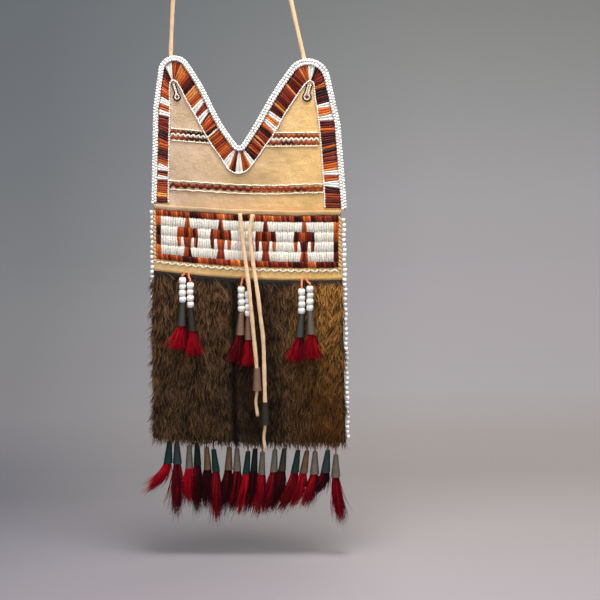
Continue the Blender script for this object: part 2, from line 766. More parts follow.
# %% The colours of the border
LEFT_SLOPE = [
    (-62.5, 112.2), (-57.6, 101.4), (-51.2, 91), (-45.4, 80.4), (-40, 69.8), (-33.7, 59.5), (-26.4, 49.6),
    (-19, 37.4),
]
RIGHT_SLOPE = [
    (0, 37.5), (10.4, 51.4), (17, 61.4), (22, 67.8), (28.2, 78), (33.8, 88.8), (47.2, 108.8),
    (51.7, 115.4),
]
INNER_LINE = np.array([
    (-75.6, 6.4), (-74.8, 50), (-73.6, 92), (-73.6, 110), (-73.4, 116), (-72.2, 119.8), (-69.9, 121.3),
    (-67.5, 120), (-65.6, 117.4), *LEFT_SLOPE, (-14.5, 34.7), (-9.5, 33.8), (-4.5, 34.8), *RIGHT_SLOPE,
    (54.2, 118.4), (56.9, 120), (59.3, 120), (61, 118.6), (61.9, 114), (62.3, 106.5), (64.8, 92),
    (66.4, 80), (69, 50), (71.2, 20), (71.8, 1.4),
])
BORDER_BLOCKS = {
    "left_leg": [
        (0.045, 0.045, "maroon"), (0.08, 0.075, "gold"), (0.175, 0.19, "rust"), (0.215, 0.215, "white"),
        (0.245, 0.26, "red"), (0.305, 0.295, "white"), (0.355, 0.355, "orange"), (0.39, 0.39, "maroon"),
        (0.44, 0.45, "rust"), (0.465, 0.475, "gold"), (0.495, 0.5, "rust"), (0.54, 0.54, "dark"),
        (0.575, 0.585, "maroon"), (0.6, 0.61, "orange"), (0.665, 0.705, "maroon"), (0.71, 0.74, "white"),
        (0.755, 0.785, "gold"), (0.81, 0.835, "white"), (0.85, 0.88, "rust"), (0.955, 0.985, "orange"),
        (1, 1, "maroon"),
    ],
    "left_peak": [(0.16, 0.2, "maroon"), (0.46, 0.45, "white"), (0.8, 0.8, "orange"), (1, 1, "gold")],
    "left_slope": [
        (0.055, 0.05, "gold"), (0.125, 0.1, "rust"), (0.17, 0.15, "dark"), (0.22, 0.2, "maroon"),
        (0.31, 0.295, "gold"), (0.385, 0.365, "orange"), (0.435, 0.448, "white"), (0.505, 0.495, "red"),
        (0.55, 0.575, "white"), (0.57, 0.59, "maroon"), (0.66, 0.66, "orange"), (0.71, 0.69, "rust"),
        (0.737, 0.735, "dark"), (0.757, 0.757, "cream"), (0.77, 0.77, "maroon"), (0.87, 0.87, "orange"),
        (0.93, 0.93, "rust"), (1, 1, "orange"),
    ],
    "notch": [
        (0.15, 0.105, "rust"), (0.31, 0.29, "white"), (0.425, 0.435, "red"), (0.57, 0.59, "white"),
        (0.725, 0.77, "rust"), (0.81, 0.895, "white"), (1, 1, "dark"),
    ],
    "right_slope": [
        (0.02, 0.01, "dark"), (0.07, 0.05, "orange"), (0.125, 0.1, "rust"), (0.145, 0.125, "gold"),
        (0.16, 0.145, "maroon"), (0.19, 0.17, "gold"), (0.25, 0.24, "red"), (0.305, 0.302, "dark"),
        (0.355, 0.33, "gold"), (0.395, 0.4, "white"), (0.448, 0.445, "gold"), (0.495, 0.505, "white"),
        (0.58, 0.565, "maroon"), (0.65, 0.63, "orange"), (0.73, 0.71, "maroon"), (0.835, 0.8, "red"),
        (0.86, 0.83, "gold"), (0.93, 0.92, "maroon"), (1, 1, "rust"),
    ],
    "right_peak": [
        (0.14, 0.1, "rust"), (0.43, 0.36, "orange"), (0.63, 0.62, "white"), (0.8, 0.8, "maroon"),
        (1, 1, "red"),
    ],
    "right_leg": [
        (0.03, 0.035, "maroon"), (0.07, 0.056, "gold"), (0.13, 0.12, "dark"), (0.185, 0.18, "maroon"),
        (0.225, 0.21, "white"), (0.275, 0.275, "orange"), (0.33, 0.307, "white"), (0.385, 0.365, "maroon"),
        (0.405, 0.39, "rust"), (0.43, 0.42, "orange"), (0.505, 0.515, "dark"), (0.535, 0.54, "gold"),
        (0.56, 0.57, "dark"), (0.63, 0.635, "rust"), (0.705, 0.71, "orange"), (0.75, 0.738, "white"),
        (0.785, 0.795, "orange"), (0.85, 0.825, "white"), (0.89, 0.88, "maroon"), (1, 1, "red"),
    ],
}
MIXED = {
    "gold": ["gold", "gold", "orange"], "orange": ["orange", "orange", "orange", "gold", "rust", "red"],
    "rust": ["rust", "rust", "orange", "red", "rust", "maroon"], "red": ["red", "red", "rust", "maroon"],
    "maroon": ["maroon", "maroon", "dark", "red"], "dark": ["dark", "dark", "dark", "maroon"],
    "white": ["white"], "cream": ["cream"],
}
print("blocks of colour:", sum(len(blocks) for blocks in BORDER_BLOCKS.values()))

# %% The quilled border
QUILL_PITCH, QUILL_OVERLAP = 2.25, 1.09
BORDER_INSET, BORDER_RISE = 5.4, 1.35
BORDER_FEET = 6.4, 1.4


def fill_block(outer, inner, count, dyes):
    """Quills side by side between two edges, each a row of points with the shares that the block spans."""
    shares = (np.arange(count) + 0.5) / count
    ends, widths = [], []
    for line, begin, end in (outer, inner):
        ends.append(along(line, mix(begin, end, shares)))
        widths.append(length_of(line) * (end - begin) / count * QUILL_OVERLAP)
    return [(a, b, *widths, dyes[k % len(dyes)]) for k, (a, b) in enumerate(zip(*ends))]


def share_out(quills, heaps):
    for one in quills:
        heaps["white" if one[-1] in ("white", "bone", "cream") else "red"].append(one)


def line_quills(points, step, width, dye):
    """A line of quills laid end to end along a row of points."""
    points = np.array(points, float)
    count = max(1, round(length_of(points) / step))
    ends = along(points, np.linspace(0, 1, count + 1))
    return [(start, mix(start, end, 1.12), width, width, dye) for start, end in zip(ends[:-1], ends[1:])]


border = {"red": [], "white": []}
outer_side = peak_outline(BORDER_INSET)
outer_side["left_leg"][0, 1], outer_side["right_leg"][2, 1] = BORDER_FEET
inner_shares = np.linspace(0, 1, 2000)
inner_places = along(INNER_LINE, inner_shares)
inner_begin = 0.0
for stretch, blocks in BORDER_BLOCKS.items():
    outer = outer_side[stretch]
    nearest = inner_shares[np.linalg.norm(inner_places - outer[-1], axis=1).argmin()]
    inner_end = 1.0 if stretch == "right_leg" else nearest
    outer_from, inner_from = 0.0, inner_begin
    for outer_to, share, dye in blocks:
        inner_to = mix(inner_begin, inner_end, share)
        wide_out = length_of(outer) * (outer_to - outer_from)
        wide_in = length_of(INNER_LINE) * (inner_to - inner_from)
        count = max(1, round(max((wide_out + wide_in) / 2, 0.7 * wide_out, 0.7 * wide_in) / QUILL_PITCH))
        dyes = [MIXED[dye][dice.integers(len(MIXED[dye]))] for _ in range(count)]
        edges = (outer, outer_from, outer_to), (INNER_LINE, inner_from, inner_to)
        share_out(fill_block(*edges, count, dyes), border)
        outer_from, inner_from = outer_to, inner_to
    inner_begin = inner_end

lay_quills("border_red_quills", border["red"], on_peaks, BORDER_RISE, "red_quill", "quilled_border_red")
whites = border["white"] + line_quills(INNER_LINE, 2.4, 1.5, "white")
lay_quills("border_white_quills", whites, on_peaks, BORDER_RISE, "white_quill", "quilled_border_white")
print("border quills:", len(border["red"]), "dyed,", len(whites), "plain")

# %% [markdown]
# The panel is four lanes of upright quills in a dyed frame. A figure with spread wings is repeated four
# times. A list of every quill would be long. Instead, whether a quill is dyed follows from its place: in
# the frame, or within the figure's sides in that lane. Quills at a figure's edge lean with its sides.

# %% The colours of the panel
PANEL_LEFT, PANEL_RIGHT = -87.0, 84.6
SIDE_DYES = {"left": ["orange", "dark", "maroon", "orange"], "right": ["orange", "rust", "dark", "maroon"]}
TOP_DYES = [
    (-55, "rust"), (-47.5, "dark"), (-44, "maroon"), (-30, "rust"), (-22, "orange"), (-14, "rust"),
    (0.3, "dark"), (14, "rust"), (24, "orange"), (42.9, "rust"), (51.2, "dark"), (58.5, "orange"),
    (62.6, "dark"), (78, "red"), (PANEL_RIGHT, "maroon"),
]
FOOT_DYES = [
    (-62, "rust"), (-51.6, "dark"), (-47.5, "maroon"), (-44.4, "orange"), (-17, "rust"), (-5, "orange"),
    (21, "rust"), (42, "red"), (50, "dark"), (55.4, "maroon"), (63.7, "orange"), (PANEL_RIGHT, "maroon"),
]
FIGURES = {
    -57.2: [
        "orange rust", "rust orange rust maroon maroon orange rust dark", "rust orange", "red rust red",
        "rust maroon", "rust rust dark",
    ],
    -25.8: [
        "maroon rust", "maroon rust orange rust dark maroon rust rust", "maroon maroon",
        "rust orange rust", "orange orange", "red rust red",
    ],
    16.2: [
        "maroon red", "maroon rust rust dark maroon rust rust dark", "maroon red", "red rust red",
        "orange gold", "red rust red",
    ],
    52.3: [
        "orange rust", "dark dark red rust orange red maroon maroon", "orange rust", "maroon dark maroon",
        "red maroon", "rust maroon rust",
    ],
}
FIGURE_SIDES = [
    [(-1.3, -2.6, 1.3, 2.6, 0)],
    [(-9.2, -10.0, 9.2, 10.0, 1)],
    [(-10.0, -9.0, -6.2, -6.6, 2), (-3.8, -2.8, 3.8, 2.8, 3), (6.2, 6.6, 10.0, 9.0, 4)],
    [(-2.4, -4.0, 2.4, 4.0, 5)],
]
print("figures at", list(FIGURES))

# %% The quilled panel
PANEL_TOP = 0.4
FRAME_LANE, WHITE_LANE, SIDE_LANE = 5.5, 8.95, 4.5
FRAME_SLANT = 0.5
RED_RISE, WHITE_RISE = 1.45, 1.3


def lane_blocks(lane):
    """A lane's blocks from left to right: its edges at the top and at the foot, and its dyes."""
    begin, end = PANEL_LEFT + SIDE_LANE, PANEL_RIGHT - SIDE_LANE
    blocks = [(PANEL_LEFT, PANEL_LEFT, begin, begin, [SIDE_DYES["left"][lane]])]
    for centre, dyes in FIGURES.items():
        for *sides, group in FIGURE_SIDES[lane]:
            top_from, foot_from, top_to, foot_to = (centre + side for side in sides)
            blocks.append((*blocks[-1][2:4], top_from, foot_from, ["bone"]))
            blocks.append((top_from, foot_from, top_to, foot_to, dyes[group].split()))
    blocks.append((*blocks[-1][2:4], end, end, ["bone"]))
    blocks.append((end, end, PANEL_RIGHT, PANEL_RIGHT, [SIDE_DYES["right"][lane]]))
    return blocks


def frame_blocks(stops):
    starts = [PANEL_LEFT] + [x for x, _ in stops[:-1]]
    return [(begin, begin, end, end, MIXED[dye]) for begin, (end, dye) in zip(starts, stops)]


panel = {"red": [], "white": []}
lanes = [(PANEL_TOP, FRAME_LANE, frame_blocks(TOP_DYES))]
lanes += [(PANEL_TOP - FRAME_LANE - k * WHITE_LANE, WHITE_LANE, lane_blocks(k)) for k in range(4)]
lanes.append((PANEL_TOP - FRAME_LANE - 4 * WHITE_LANE, FRAME_LANE, frame_blocks(FOOT_DYES)))
for top, tall, blocks in lanes:
    in_frame = tall == FRAME_LANE
    slant = FRAME_SLANT if in_frame else 0.0
    for top_from, foot_from, top_to, foot_to, dyes in blocks:
        wide = (top_to - top_from + foot_to - foot_from) / 2
        count = max(1 if in_frame else len(dyes), round(wide / QUILL_PITCH))
        upper = np.array([(top_from - slant, top + 0.3), (top_to - slant, top + 0.3)])
        lower = np.array([(foot_from + slant, top - tall - 0.2), (foot_to + slant, top - tall - 0.2)])
        share_out(fill_block((upper, 0, 1), (lower, 0, 1), count, dyes), panel)

white_nodes = [f"panel_white_quills_{k}" for k in range(1, 6)]
lay_quills("panel_red_quill_rows", panel["red"], on_front, RED_RISE, "red_quill", "panel_red_quills")
lay_quills("panel_white_quill_rows", panel["white"], on_front, WHITE_RISE, "white_quill", *white_nodes)
print("panel quills:", len(panel["red"]), "dyed,", len(panel["white"]), "plain")

# %% [markdown]
# Across the peaks run bands of folded quills: dark zigzags with a plain zigzag or line between and
# outside them. One bent tube could be a zigzag, but a folded quill has a flat stroke and a sharp turn, so
# every stroke is one short quill.

# %% Rows of the zigzag bands
FINE_RISE = 0.95
LEFT_ROWS = [
    (5.7, "line", "cream"), (2.9, "zigzag", "red maroon dark dark"), (0.2, "zigzag", "cream"),
    (-2.5, "zigzag", "rust red dark dark"), (-5.5, "line", "cream"),
]
RIGHT_ROWS = [
    (5.5, "line", "cream"), (2.5, "zigzag", "rust red rust red"), (-0.8, "zigzag", "cream"),
    (-4.0, "zigzag", "rust red maroon red"), (-7.2, "line", "cream"),
]
SHORT_BANDS = {
    "left": ((-72.7, 70.4), LEFT_SLOPE, -2.9, -1.3, LEFT_ROWS),
    "right": ((66.0, 66.6), RIGHT_SLOPE, -0.3, 1.3, RIGHT_ROWS),
}
LONG_BAND = [(-74.4, 23.0), (-40, 21.0), (-8, 19.0), (24, 18.4), (50, 19.4), (70.4, 19.8)]
LONG_ZIGZAGS = [
    (0, 33, 7.4, 2.0, "maroon"), (32, 48, 5.4, 1.1, "rust"), (47, 53, 6.4, 1.8, "maroon"),
    (52, 59, 4.8, 1.0, "rust"),
]


def smooth_route(points, count):
    """A smooth curve through chosen places."""
    points = np.array(points, float)
    padded = np.concatenate([[2 * points[0] - points[1]], points, [2 * points[-1] - points[-2]]])
    t = np.linspace(0, len(points) - 1, count)
    k = np.minimum(t.astype(int), len(points) - 2)
    f = (t - k)[:, None]
    a, b, c, d = (padded[k + n] for n in range(4))
    bend, twist = 2 * a - 5 * b + 4 * c - d, 3 * b - a - 3 * c + d
    curve = 0.5 * (2 * b + (c - a) * f + bend * f**2 + twist * f**3)
    return along(curve, np.linspace(0, 1, count))


def zigzag(start, end, period, reach, width, dye):
    turns = max(2, round(2 * abs(end[0] - start[0]) / period))
    share = np.linspace(0, 1, turns + 1)[:, None]
    path = mix(np.array(start, float), np.array(end, float), share)
    path[:, 1] += reach * np.where(np.arange(turns + 1) % 2, 1, -1)
    dyes = dye.split()
    strokes = enumerate(zip(path[:-1], path[1:]))
    return [(a, b, width, width, dyes[k * len(dyes) // turns]) for k, (a, b) in strokes]


def short_band(start, slope, drop, gap, rows):
    """Rows from a leg of the border to its slope, each as (offset, kind, dyes)."""
    reached = np.array(sorted(slope, key=lambda place: place[1]))
    strokes = []
    for offset, kind, dye in rows:
        low = start[1] + offset + drop
        at_slope = float(np.interp(low, reached[:, 1], reached[:, 0]))
        ends = (start[0], low - drop), (at_slope + gap, low)
        if kind == "line":
            strokes += line_quills(ends, 2.6, 1.5, dye)
        else:
            strokes += zigzag(*ends, 4.75, 1.75, 2.2, dye)
    return strokes


print("rows in each short band:", len(LEFT_ROWS), "and", len(RIGHT_ROWS))

# %% Zigzag bands
for side, form in SHORT_BANDS.items():
    short = short_band(*form)
    lay_quills(f"zigzag_{side}_quills", short, on_peaks, FINE_RISE, "dark_quill", f"zigzag_short_{side}")

long_route = smooth_route(LONG_BAND, 60)
long_band = []
for offset in (4.0, -4.1):
    shift = offset + 0.35 * np.sin(long_route[:, 0] * 0.55 + offset)
    long_band += line_quills(long_route + np.stack([0 * shift, shift], -1), 2.5, 1.55, "cream")
for first, last, period, reach, dye in LONG_ZIGZAGS:
    start, end = long_route[first], long_route[last]
    if dye == "rust":
        for row in (1.1, -1.1):
            long_band += zigzag(start + (0, row), end + (0, row), period, reach, 1.8, dye)
    else:
        long_band += zigzag(start, end, period, reach, 2.4, dye)
        long_band += zigzag(start + (period / 2, 0.4), end, period, reach * 0.6, 2.0, "rust")
lay_quills("zigzag_long_quills", long_band, on_peaks, FINE_RISE, "dark_quill", "zigzag_long")
print("strokes of the long band:", len(long_band))

# %% [markdown]
# A pale quill waves below the panel, and a keyhole of quill sits in each peak. The panel's ends are
# sewn to the hide by slanting stitches. Thread could be a shape of its own, but at this size a quill of
# another finish looks the same.

# %% The wavy line, the curls and the stitches
PANEL_BOTTOM = lanes[-1][0] - FRAME_LANE
WAVE_DROP, WAVE_RISE = 2.9, 1.2
CURLS = {
    "left": ((-69.8, 117.6), (-66.6, 105.1), 3.3, 1.6),
    "right": ((57.5, 117.0), (54.9, 105.3), 4.0, 2.4),
}
STITCH_PITCH, STITCH_WIDTH, STITCH_RISE = 3.5, 1.9, 1.0
wave_level = PANEL_BOTTOM - WAVE_DROP
wave = zigzag((PANEL_LEFT, wave_level), (PANEL_RIGHT, wave_level), 7.4, 1.35, 2.2, "cream")
lay_quills("wave_quills", wave, on_front, WAVE_RISE, "white_quill", "wave_below_panel")


def curl(top, centre, radius, neck):
    """A keyhole: a dark line down the neck, round the ring and up again, with a pale one inside it."""
    top, centre = np.array(top, float), np.array(centre, float)

    def drop(reach, neck, start):
        open_half = math.asin(min(0.95, neck / reach))
        ring = arc(centre, reach, math.pi / 2 + open_half, 2.5 * math.pi - open_half, 14)
        return np.concatenate([[start + (-neck, 0)], ring, [start + (neck, 0)]])

    dark = line_quills(drop(radius, neck, top), 1.8, 1.2, "dark")
    inner = drop(radius - 1.3, max(neck - 1.2, 0.3), mix(top, centre, 0.06))
    eye = arc(centre, radius * 0.28, 0, 2 * math.pi, 6)
    return dark + line_quills(inner, 1.6, 1.35, "white") + line_quills(eye, 1.2, 1.1, "red")


for side, form in CURLS.items():
    lay_quills(f"{side}_curl_quills", curl(*form), on_peaks, FINE_RISE, "dark_quill", f"peak_curl_{side}")

stitches = []
for x in (PANEL_LEFT - 1.4, PANEL_RIGHT + 1.6):
    for z in np.arange(PANEL_TOP - 3, PANEL_BOTTOM - 4, -STITCH_PITCH):
        stitches.append(((x - 1.3, z + 1.5), (x + 1.3, z - 1.5), STITCH_WIDTH, STITCH_WIDTH, "hide"))
lay_quills("margin_stitches", stitches, on_front, STITCH_RISE, "thong", finish=thread)
print("strokes of the wave:", len(wave), "stitches:", len(stitches))

# %% [markdown]
# Two rows of white beads are sewn over the edge of the peaks, and one row is strung down each side of
# the pouch. A ball would be too round, so a bead is a small barrel with a hole, spun from a short profile.

# %% Beads
BEAD_DYES = ["#fbfaf6", "#f3f3f0", "#f6f2e6", "#e9e9e6"]
EDGE_PITCH = 2.75
EDGE_ROWS = [(1.35, 1.5, 1.5, 0.25), (3.7, 4.5, 1.8, 0.75)]
SIDE_PITCH, SIDE_SIZE = 4.72, (4.3, 4.3, 4.9)
SIDE_ROWS = [(-1, "left", -0.4, 47, 1.6), (1, "right", -7.9, 45, 2.2)]


def lathe_shape(name, profile, around):
    """A closed ring of revolution about z, from a profile of (radius, z) points."""
    angles = [2 * math.pi * k / around for k in range(around)]
    points = [(radius * math.cos(a), radius * math.sin(a), z) for radius, z in profile for a in angles]
    return unit_shape(name, points, ring_faces(len(profile), around, closed=True))


SMALL_PROFILE = [(0.16, -0.32), (0.4, -0.38), (0.5, 0), (0.4, 0.38), (0.16, 0.32)]
small_bead = lathe_shape("small_bead", SMALL_PROFILE, 8)


def string_beads(name, places, size, solid, axes=None, out=(1, 0, 0), shape=small_bead, body="bag"):
    """Beads on a string: each bead's hole runs along its axis, which is upright unless given."""
    turns = [euler(out, axis) for axis in axes or [(0, 0, 1)] * len(places)]
    dyes = [paint(BEAD_DYES[dice.integers(len(BEAD_DYES))]) for _ in places]
    sizes = np.broadcast_to(size, (len(places), 3)) * MM
    columns = {"turn": turns, "size": sizes, "dye": dyes}
    beads = copy_on_points(name, places, shape, bead, wobble=(0.1, 0.1, 0.1), uneven=0.05, **columns)
    settle(beads, "bead", solid, body=body)


edge_places, edge_axes, edge_sizes = [], [], []
for inset, right_inset, height, stagger in EDGE_ROWS:
    row, right_row = joined(peak_outline(inset)), joined(peak_outline(right_inset))
    count = round(length_of(row) / EDGE_PITCH)
    share = (np.arange(count) + stagger) / count
    spots = along(row, share)
    x = spots[:, :1]
    rightness = np.clip(x / 25 + 0.4, 0, 1) * (1 - 0.6 * np.clip(x / 20 - 3.1, 0, 1))
    spots = mix(spots, along(right_row, share), rightness)
    steps = along(row, share + 0.002) - along(row, share - 0.002)
    edge_sizes += [(width, width, 3.55) for width in mix(2.9, 3.4, rightness[:, 0])]
    edge_places += list(on_peaks(*spots.T, height))
    edge_axes += [(dx, 0, dz) for dx, dz in steps]
string_beads("edge_bead_rows", edge_places, edge_sizes, "edge_beads", edge_axes, out=(0, -1, 0))

for side, name, first, count, gap in SIDE_ROWS:
    z = first - SIDE_PITCH * (np.arange(count) + 0.5)
    x = pouch_edges(z)[side > 0] + side * gap + 0.35 * np.sin(z * 0.31 + side)
    places = np.stack([x, np.full(x.shape, PANEL_FACE), z], -1)
    string_beads(f"side_bead_row_{name}", places, SIDE_SIZE, f"side_beads_{name}")
print("edge beads:", len(edge_places), "side beads:", sum(row[3] for row in SIDE_ROWS))

# %% [markdown]
# The pelt is a sheet like the band, and its hairs are grown on it by a geometry tree. Blender's own hair
# isn't a mesh and would be lost on export. So points are strewn over the front, one curved blade stands
# on each, and two noises comb the blades into locks. A hair's root is stuck flat, so the blade leans off
# the skin and its tip lies down the bag.

# %% The pelt
PELT_TOP = BAND_HEM - GAP
BLADE = [(0.0, 0.0, 0.6), (0.34, 0.15, 0.56), (0.7, 0.2, 0.4)]
BLADE_TIP = (0, 1.0, 0.16)
pelt_levels, pelt_shares = np.linspace(-POUCH_DEPTH, PELT_TOP, 40), np.linspace(0, 1, 44)
pelt_sheet = front_strip("fur_pelt_skin", pelt_levels, pelt_shares, lambda x, z: HIDE, skin_side)
settle(thicken(pelt_sheet, HIDE), "fur", "fur_pelt")

blade_points = [(side * half, reach, off) for reach, off, half in BLADE for side in (-1, 1)] + [BLADE_TIP]
blade = unit_shape("one_hair", blade_points, [(0, 1, 3, 2), (2, 3, 5, 4), (4, 5, 6)])
give(blade, along=[p[1] for p in blade_points])
print("pelt of", round(BAND_HEM + POUCH_DEPTH), "mm, and a hair of", len(blade.data.polygons), "faces")

# %% The tree that grows fur
growing = GeometryTree(
    "fur_on_skin", Hair="Object", Density="Float", Length="Float", Width="Float", Seed="Int"
)
given = growing.given
seed = given["Seed"]
roots = growing.node(
    "GeometryNodeDistributePointsOnFaces", {"distribute_method": "RANDOM"},
    {"Mesh": given["Geometry"], "Density": given["Density"], "Seed": seed},
)
normal = Value(growing, roots.socket.node.outputs["Normal"])
spot = growing.node("GeometryNodeInputPosition")
locks = growing.noise(spot, 75, 2) - 0.5
wisps = growing.noise(spot, 420, 2) - 0.5
streak = growing.noise(growing.vector("MULTIPLY", spot, (1, 1, 0.24)), 520, 3) - 0.5
to_right = growing.node("ShaderNodeSeparateXYZ", None, {"Vector": spot}, "X")
from_left_edge = growing.clamp(to_right * -60 - 4.5) * -0.35
from_right_edge = growing.clamp(to_right * 60 - 4.5) * -0.5
comb = growing.xyz(locks * 2.4 + wisps * 1.8 + from_left_edge + from_right_edge, 0.0, -1.0)
facing = growing.node("FunctionNodeAlignRotationToVector", {"axis": "Z"}, {"Vector": normal})
combed = growing.node(
    "FunctionNodeAlignRotationToVector", {"axis": "Y", "pivot_axis": "Z"},
    {"Rotation": facing, "Vector": comb},
)
lean = growing.random(-0.06, 0.3, seed + 3) + locks * 0.35 + streak * 0.5
roll = growing.random(-1.1, 1.1, seed + 4)
leaning = growing.turn(combed, growing.xyz(lean, roll, wisps * 0.9))
reach = given["Length"] * growing.random(0.62, 1.1, seed + 5)
hairs = growing.copies(roots, given["Hair"], leaning, growing.xyz(given["Width"], reach, reach))
tone = growing.clamp(growing.random(0.0, 1.0, seed + 6) * 0.8 + streak * 4.2 + 0.02)
toned = growing.node(
    "GeometryNodeStoreNamedAttribute", {"data_type": "FLOAT", "domain": "INSTANCE"},
    {"Geometry": hairs, "Name": "tone", "Value": tone},
)
growing.close(toned)

# %% [markdown]
# The pelt is grown in five upright strips, because one mesh of all the hairs would be too heavy. A
# parting runs down it left of the middle, where two pieces of fur meet, and hairs there lie lower.

# %% Growing the fur
FUR_LENGTH, FUR_WIDTH = 12.0, 0.5
FUR_DENSITY, QUICK_SHARE = 1.5e6, 0.2
FUR_HEM, FUR_REST = -215.5, 1.7
PARTING_DEPTH, PARTING_WIDTH = 1.6, 4
STRIPS = 5


def fur_floor(x, z):
    parting = PARTING_DEPTH * np.exp(-(((x - PARTING) / PARTING_WIDTH) ** 2)) * mix(0.3, 1, below_band(z))
    waves = 0.3 * np.sin(x * 0.23 + z * 0.05) + 0.25 * np.sin(z * 0.19 + x * 0.11)
    return HIDE + FUR_REST - parting + waves


fur_levels = np.linspace(FUR_HEM, PELT_TOP - 0.5, 50)
density = FUR_DENSITY * 1.0
for strip in range(STRIPS):
    strip_shares = (strip + np.linspace(0, 1, 16)) / STRIPS
    ground = front_strip(f"fur_hair_{strip + 1}", fur_levels, strip_shares, fur_floor, fur)
    grown = run_tree(
        ground, growing, Hair=blade, Finish=fur, Density=density, Length=FUR_LENGTH * MM,
        Width=FUR_WIDTH * MM, Seed=strip * 10,
    )
    settle(grown, "fur")
    print(grown.name, len(grown.data.polygons) // 3, "hairs")
bpy.data.objects.remove(blade)

# %% [markdown]
# The thongs are strips of hide, a little flatter than round. A bevelled curve would be an even, round
# cord, so rings of points are set along one smooth curve through a few chosen places. The carrying
# thong's places are the same as in the solids.

# %% Thongs
STRAP_ROUTE = [
    (-71, -130), (-71.8, -122), (-72.2, -114), (-71, -88), (-69.4, -62), (-66, -36), (-57.5, -16),
    (-42, -3.2), (-22, 1.3), (0, 1.5), (16, -6.5), (28.5, -25), (35.6, -46), (39, -61), (45.5, -90),
    (51.5, -116), (53.2, -124), (54.8, -131),
]


def thong_tube(name, route, wide, thin, material, around=10, tail=None):
    """A strip of hide along a route. A tail is the share where it starts, and its width."""
    steps = np.gradient(route, axis=0)
    steps /= np.linalg.norm(steps, axis=1)[:, None]
    depth = np.tile([0.0, 1.0, 0.0], (len(route), 1))
    depth -= steps * np.sum(depth * steps, axis=1)[:, None]
    depth /= np.linalg.norm(depth, axis=1)[:, None]
    side = np.cross(steps, depth)
    shares = np.linspace(0, 1, len(route))
    size = 1 + 0.05 * np.sin(shares * 40) + 0.04 * np.sin(shares * 97 + 1)
    breadth = np.full(len(route), wide)
    if tail:
        breadth = mix(wide, tail[1], np.clip((shares - tail[0]) / 0.03, 0, 1))
    rings = []
    for k in range(around):
        angle = 2 * math.pi * k / around
        c, s = math.cos(angle), math.sin(angle)
        square = (abs(c) ** 4 + abs(s) ** 4) ** -0.25
        spoke = side * breadth[:, None] / 2 * c + depth * thin / 2 * s
        rings.append(route + spoke * (square * size)[:, None])
    points = np.stack(rings, 1).reshape(-1, 3)
    faces = flipped(ring_faces(len(route), around) + end_faces(len(route), around))
    return new_piece(name, points, faces, material)


def declare_thong(route):
    path = to_frame(route)


strap_route = smooth_route([(x, 0, z + HANG_DROP) for x, z in STRAP_ROUTE], 130)
strap = thong_tube("carrying_strap_thong", strap_route, 3.9, 2.4, thong)
settle(strap, "thong", "carrying_strap")
declare_thong(strap_route)

# %% [markdown]
# A tin cone is a strip of sheet metal rolled to a taper. A plain cone would have no seam, so the wall's
# radius grows a little on its way round and steps back where the strip overlaps. Cones hang on both
# ties and on every tassel.

# %% Tin cones
CONE_LENGTH, CONE_TOP, CONE_BASE, TIN = 21.5, 2.4, 4.1, 0.4
CONE_AROUND, SEAM_TURN, SEAM_STEP = 22, 0.4, 0.09
TIN_TONES = {
    "teal": "#24443f", "black": "#1d2827", "grey": "#877f72", "brown": "#85664f", "blue": "#414c50",
    "dark": "#4a443c", "iron": "#5c5d57", "copper": "#a88670",
}


def tin_cone(name, top, foot, tone, top_radius=CONE_TOP, base_radius=CONE_BASE):
    top, foot = np.array(top, float), np.array(foot, float)
    halfway, half_radius = mix(top, foot, 0.5), (top_radius + base_radius) / 2
    profile = [
        (foot, base_radius - TIN), (foot, base_radius), (halfway, half_radius), (top, top_radius),
        (top, top_radius - TIN), (halfway, half_radius - TIN),
    ]
    points = []
    for place, radius in profile:
        for k in range(CONE_AROUND):
            angle = SEAM_TURN + 2 * math.pi * k / CONE_AROUND
            rolled = radius * (1 + SEAM_STEP * (k / (CONE_AROUND - 1) - 0.5))
            points.append(place + (rolled * math.cos(angle), rolled * math.sin(angle), 0))
    cone = new_piece(name, points, ring_faces(len(profile), CONE_AROUND, closed=True), tin)
    give(cone, dye=[paint(TIN_TONES[tone])] * len(points))
    cone.data.set_sharp_from_angle(angle=math.radians(50))
    return cone


print("tones of tin:", ", ".join(TIN_TONES))

# %% [markdown]
# Two ties hang from the mouth in front of the fur, each with a cone near its end. They could be let fall
# by a simulation, but the picture shows where each one lies. Below the cone the thong is narrower, as it
# was cut to pass through.

# %% Ties, each with its cone
TIE_DEPTH = -28.7
TIES = {
    "left": [
        (-7.6, -18.5, -2.6), (-6.4, -19.6, -18), (-4.3, -21.3, -35), (0, -26.2, -64.6), (2.4, TIE_DEPTH, -88),
        (4.7, TIE_DEPTH, -112), (7.6, TIE_DEPTH, -144), (8, TIE_DEPTH, -158), (8, TIE_DEPTH, -170),
        (7, TIE_DEPTH, -180), (8.6, TIE_DEPTH, -193),
    ],
    "right": [
        (4.4, -18.5, -3.6), (1.6, -19.7, -20), (4.2, -22.4, -46), (9.1, -27.5, -78), (11.6, TIE_DEPTH, -100),
        (14.2, TIE_DEPTH, -124), (15.5, TIE_DEPTH, -176), (15.7, TIE_DEPTH, -190), (15.6, TIE_DEPTH, -203),
        (14.4, TIE_DEPTH, -213), (15.4, TIE_DEPTH, -225),
    ],
}
TIE_CONES = {"left": (8, -147, "copper"), "right": (15.7, -179.6, "dark")}
for side, places in TIES.items():
    route = smooth_route(places, 110)
    tie = thong_tube(f"tie_{side}_thong", route, 3.7, 2.5, thong, tail=(0.84, 2.8))
    settle(tie, "thong", f"tie_thong_{side}")
    x, top, tone = TIE_CONES[side]
    cone_ends = (x, TIE_DEPTH, top), (x, TIE_DEPTH, top - CONE_LENGTH)
    cone = tin_cone(f"tie_{side}_tin", *cone_ends, tone, top_radius=2.85)
    settle(cone, "tin", f"tie_cone_{side}")
    declare_thong(route)

